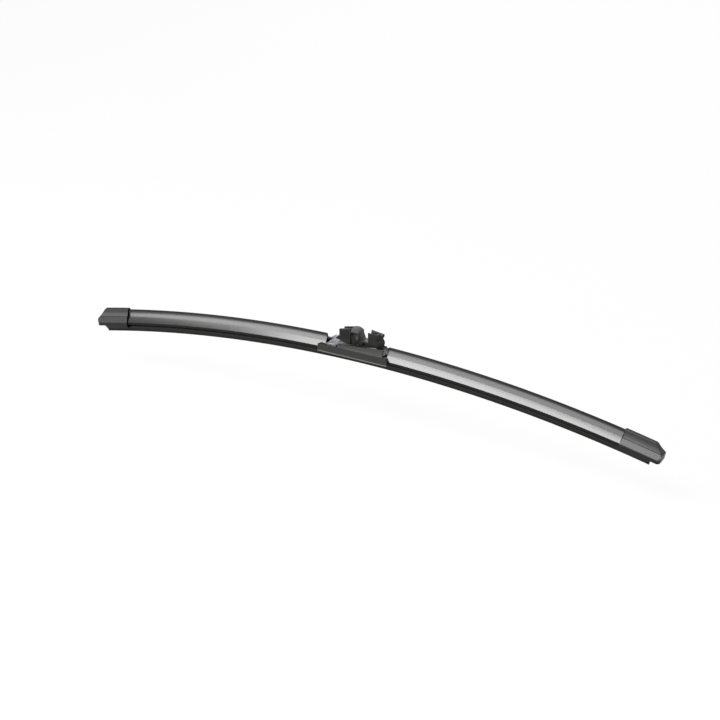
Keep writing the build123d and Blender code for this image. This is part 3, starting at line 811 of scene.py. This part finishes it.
class WIPER_OT_rubber(bpy.types.Operator):
    """Carry the rubber's section along the blade"""

    bl_idname = "wiper.rubber"
    bl_label = "Wiping rubber"

    def execute(self, context):
        scene = context.scene
        line = scene.wiper_line
        finish = rubber_finish(line, scene.wiper_colours.rubber)
        outline = rubber_outline(scene.wiper_rubber)
        strip = extruded("wiping_strip", outline, -line.rubber_left, line.rubber_right, line, finish)
        place_piece(strip, "blade", "wiping_rubber")
        return {"FINISHED"}


class WIPER_OT_rails(bpy.types.Operator):
    """Carry the two rails along the blade"""

    bl_idname = "wiper.rails"
    bl_label = "Sprung rails"

    def execute(self, context):
        scene = context.scene
        line = scene.wiper_line
        finish = rail_finish(line, scene.wiper_colours.rail)
        for side, node in ((-1, "front_rail"), (1, "rear_rail")):
            outline = rail_outline(scene.wiper_rail, side)
            name = node.replace("rail", "spring")
            rail = extruded(name, outline, -line.rail_end, line.rail_end, line, finish)
            place_piece(rail, "blade", node)
        return {"FINISHED"}


class WIPER_OT_caps(bpy.types.Operator):
    """Round and grain the two end caps"""

    bl_idname = "wiper.caps"
    bl_label = "End caps"

    def execute(self, context):
        scene = context.scene
        finish = cap_finish(scene.wiper_line, scene.wiper_aerofoil, scene.wiper_colours.cap)
        for side in ("left", "right"):
            swapped = side == "right"
            cap = moulded(f"{side}_cap", "left_end_cap", scene.wiper_edges.cap, finish, CAP_CRISP, swapped)
            place_piece(cap, "blade", f"{side}_end_cap")
        return {"FINISHED"}


class WIPER_OT_connector(bpy.types.Operator):
    """Round the base cover and the saddle"""

    bl_idname = "wiper.connector"
    bl_label = "Connector"

    def execute(self, context):
        scene = context.scene
        finish = cover_finish(scene.wiper_line, scene.wiper_aerofoil, scene.wiper_colours.cover)
        cover = moulded("cover", "base_cover", scene.wiper_edges.cover, finish)
        place_piece(cover, "blade", "base_cover")
        finish = saddle_finish(scene.wiper_colours.saddle)
        bridge = moulded("bridge", "saddle", scene.wiper_edges.saddle, finish)
        place_piece(bridge, "blade", "saddle")
        return {"FINISHED"}


class WIPER_OT_pin(bpy.types.Operator):
    """Turn the pivot pin with its rounded ends and centre holes"""

    bl_idname = "wiper.pin"
    bl_label = "Pivot pin"

    def execute(self, context):
        scene = context.scene
        sizes = scene.wiper_pin
        half = [(0.0, sizes.half_length - sizes.centre_depth), (sizes.centre_radius, sizes.half_length)]
        for degree in range(90, -1, -PIN_STEP):
            turn = math.radians(degree)
            reach = sizes.radius - sizes.end_round + sizes.end_round * math.cos(turn)
            along = sizes.half_length - sizes.end_round + sizes.end_round * math.sin(turn)
            half.append((reach, along))
        profile = half + [(reach, -along) for reach, along in reversed(half)]
        shape = bmesh.new()
        points = [shape.verts.new((reach, along, 0.0)) for reach, along in profile]
        edges = [shape.edges.new(pair) for pair in zip(points, points[1:])]
        bmesh.ops.spin(
            shape, geom=points + edges, axis=(0, 1, 0), cent=(0, 0, 0), steps=sizes.sides, angle=math.tau
        )
        bmesh.ops.remove_doubles(shape, verts=shape.verts, dist=SLIVER_WITHIN)
        bmesh.ops.recalc_face_normals(shape, faces=shape.faces)
        mesh = bpy.data.meshes.new("turned_pin")
        shape.to_mesh(mesh)
        shape.free()
        mesh.materials.append(pin_finish(scene.wiper_colours.pin))
        smooth(mesh, PIN_CRISP)
        place_piece(new_piece("turned_pin", mesh), "blade", "pivot_pin")
        return {"FINISHED"}


class WIPER_OT_adaptor(bpy.types.Operator):
    """Round the arm adaptor"""

    bl_idname = "wiper.adaptor"
    bl_label = "Arm adaptor"

    def execute(self, context):
        scene = context.scene
        finish = adaptor_finish(scene.wiper_colours.adaptor)
        clip = moulded("arm_clip", "arm_adaptor", scene.wiper_edges.adaptor, finish)
        place_piece(clip, "adaptor", "arm_adaptor")
        return {"FINISHED"}


def softbox(name, turn, rise, width, height, radiance, distance=1.4, roll=0):
    """A lamp that looks at the blade, some degrees to the left of square on, above the level and rolled."""
    lamp = bpy.data.lights.new(name, "AREA")
    lamp.shape = "RECTANGLE"
    lamp.size = width
    lamp.size_y = height
    lamp.energy = WATTS_PER_RADIANCE * width * height * radiance
    holder = bpy.data.objects.new(name, lamp)
    turn = math.radians(turn)
    rise = math.radians(rise)
    direction = Vector((-math.sin(turn) * math.cos(rise), -math.cos(turn) * math.cos(rise), math.sin(rise)))
    holder.location = direction * distance
    rolled = Quaternion((0.0, 0.0, 1.0), math.radians(roll))
    holder.rotation_euler = (direction.to_track_quat("Z", "Y") @ rolled).to_euler()
    bpy.context.scene.collection.objects.link(holder)


def floor_finish(base, glow):
    """Pale floor that stays white to the eye and keeps a soft shadow."""
    material, bench, shader = start_finish("pale_floor")
    tone = bench.noise(bench.coordinates(), scale=3.0)
    bench.feed(shader.inputs["Base Color"], bench.shades(tone, base, dark=0.98, light=1.02))
    shader.inputs["Roughness"].default_value = 0.9
    shader.inputs["Specular IOR Level"].default_value = 0.0
    seen = bench.node("ShaderNodeLightPath", output="Is Camera Ray")
    direct = bench.math("MAXIMUM", seen, seen.output("Is Glossy Ray"))
    direct = bench.math("MAXIMUM", direct, seen.output("Is Transmission Ray"))
    white = bench.node("ShaderNodeEmission", None, {"Color": (1.0, 1.0, 1.0, 1.0), "Strength": 1.0})
    body = Wire(bench, shader.outputs["BSDF"])
    mixed = bench.node("ShaderNodeMixShader", None, {0: direct * glow, 1: body, 2: white})
    bench.feed(material.node_tree.nodes["Material Output"].inputs["Surface"], mixed)
    return material


class WIPER_OT_stage(bpy.types.Operator):
    """Lay the floor, hang the lamps and set the camera"""

    bl_idname = "wiper.stage"
    bl_label = "Studio"

    def execute(self, context):
        scene = context.scene
        studio = scene.wiper_studio
        self.lay_floor(scene, studio)
        self.hang_lamps(scene, studio)
        self.set_camera(scene, studio)
        scene.view_settings.view_transform = "Standard"
        return {"FINISHED"}

    def lay_floor(self, scene, studio):
        """A plain round floor that the rocking blade clears, whose rim rises as a backdrop."""
        level = cad_low.z - studio.floor_drop
        rim = studio.rim_height
        shape = bmesh.new()
        points = [shape.verts.new((0.0, 0.0, level))]
        for degree in range(0, 91, RIM_STEP):
            turn = math.radians(degree)
            reach = studio.floor_radius - rim + rim * math.sin(turn)
            points.append(shape.verts.new((reach, 0.0, level + rim - rim * math.cos(turn))))
        edges = [shape.edges.new(pair) for pair in zip(points, points[1:])]
        bmesh.ops.spin(
            shape, geom=points + edges, axis=(0, 0, 1), cent=(0, 0, 0), steps=FLOOR_SIDES, angle=math.tau
        )
        bmesh.ops.remove_doubles(shape, verts=shape.verts, dist=MM)
        bmesh.ops.recalc_face_normals(shape, faces=shape.faces)
        mesh = bpy.data.meshes.new("floor")
        shape.to_mesh(mesh)
        shape.free()
        mesh.shade_smooth()
        mesh.materials.append(floor_finish(scene.wiper_colours.floor, studio.floor_glow))
        new_piece("floor", mesh)

    def hang_lamps(self, scene, studio):
        """Three softboxes in front, a wide dim one behind and the light of the room."""
        softbox("top_softbox", turn=14, rise=50, width=1.5, height=0.46, radiance=7.6, roll=12)
        softbox("left_softbox", turn=40, rise=19, width=0.7, height=0.62, radiance=3.7)
        softbox("right_softbox", turn=11, rise=21, width=0.68, height=0.74, radiance=2.4)
        softbox("rear_softbox", turn=180, rise=30, width=2.2, height=0.95, radiance=1.5, distance=1.6)
        world = bpy.data.worlds.new("room")
        world.use_nodes = True
        sky = world.node_tree.nodes["Background"]
        sky.inputs["Color"].default_value = (1.0, 1.0, 1.0, 1.0)
        sky.inputs["Strength"].default_value = studio.sky_level
        scene.world = world

    def set_camera(self, scene, studio):
        """A camera at the picture's own place."""
        turn = studio.camera_turn
        rise = studio.camera_rise
        away = Vector((math.sin(turn) * math.cos(rise), -math.cos(turn) * math.cos(rise), math.sin(rise)))
        middle = Vector((0.0, 0.0, -scene.wiper_line.pivot_height))
        lens = bpy.data.cameras.new("camera")
        lens.sensor_width = SENSOR_WIDTH
        lens.lens = studio.focal_pixels / IMAGE_SIDE * lens.sensor_width
        lens.shift_x = 0.5 - studio.middle_across / IMAGE_SIDE
        lens.shift_y = studio.middle_down / IMAGE_SIDE - 0.5
        holder = bpy.data.objects.new("camera", lens)
        holder.location = middle + away * studio.camera_distance
        holder.rotation_euler = away.to_track_quat("Z", "Y").to_euler()
        scene.collection.objects.link(holder)
        scene.camera = holder


STEPS = (
    WIPER_OT_aerofoils,
    WIPER_OT_rubber,
    WIPER_OT_rails,
    WIPER_OT_caps,
    WIPER_OT_connector,
    WIPER_OT_pin,
    WIPER_OT_adaptor,
    WIPER_OT_stage,
)
SETTINGS = {
    "wiper_line": BladeLine,
    "wiper_aerofoil": AerofoilSection,
    "wiper_rubber": RubberSection,
    "wiper_rail": RailSection,
    "wiper_pin": PinSizes,
    "wiper_edges": EdgeRounds,
    "wiper_colours": BladeColours,
    "wiper_studio": StudioSizes,
}


class WIPER_PT_panel(bpy.types.Panel):
    """Steps and sizes of the wiper blade"""

    bl_idname = "WIPER_PT_panel"
    bl_label = "Wiper blade"
    bl_space_type = "VIEW_3D"
    bl_region_type = "UI"
    bl_category = "Wiper"

    def draw(self, context):
        for step in STEPS:
            self.layout.operator(step.bl_idname)
        for name, group in SETTINGS.items():
            box = self.layout.box()
            box.label(text=group.__name__)
            for key in group.__annotations__:
                box.prop(getattr(context.scene, name), key)


def register():
    """Add the settings, the steps and the panel."""
    for group in SETTINGS.values():
        bpy.utils.register_class(group)
    for step in STEPS:
        bpy.utils.register_class(step)
    bpy.utils.register_class(WIPER_PT_panel)
    for name, group in SETTINGS.items():
        setattr(bpy.types.Scene, name, PointerProperty(type=group))


def unregister():
    """Take away what register added."""
    for name in SETTINGS:
        delattr(bpy.types.Scene, name)
    bpy.utils.unregister_class(WIPER_PT_panel)
    for step in reversed(STEPS):
        bpy.utils.unregister_class(step)
    for group in SETTINGS.values():
        bpy.utils.unregister_class(group)


def main():
    """Build the blade and its studio."""
    register()
    bpy.ops.wiper.aerofoils()
    bpy.ops.wiper.rubber()
    bpy.ops.wiper.rails()
    bpy.ops.wiper.caps()
    bpy.ops.wiper.connector()
    bpy.ops.wiper.pin()
    bpy.ops.wiper.adaptor()
    bpy.ops.wiper.stage()


if __name__ == "__main__":
    main()
